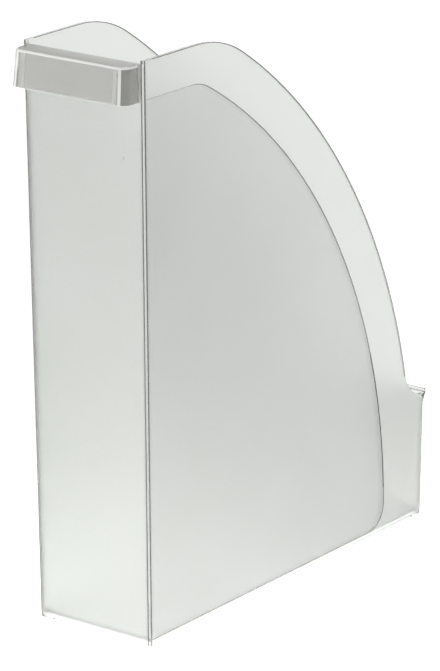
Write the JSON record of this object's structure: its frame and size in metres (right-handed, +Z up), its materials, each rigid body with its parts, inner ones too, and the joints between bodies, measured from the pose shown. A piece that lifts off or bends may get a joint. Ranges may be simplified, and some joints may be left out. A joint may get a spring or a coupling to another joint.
{
  "type": "magazine file holder",
  "caption": "Upright file for A4 magazines: tall spine, sides cut away in a long curve, low front wall with a flared lip, and a grip hood with a label.",
  "frame": {"origin": "centre of the overall box, on the surface that the file stands on", "axes": "+Z up; +Y from the spine to the low front wall; X across the file"},
  "size_m": [0.0764, 0.2757, 0.312],
  "materials": {
    "frosted_polystyrene": "frosted, translucent grey-clear, with polished rims and corners",
    "clear_polystyrene": "clear and glossy",
    "grey_card": "matt grey, blank"
  },
  "bodies": {
    "holder": {"file_body": "frosted_polystyrene", "label_cover": "clear_polystyrene"},
    "label": {"label_card": "grey_card"}
  },
  "joints": [
    {"name": "label_slide", "type": "slide", "parent": "holder", "child": "label", "axis": [0, 0.0933, 0.9956], "range_m": [0, 0.018]}
  ]
}
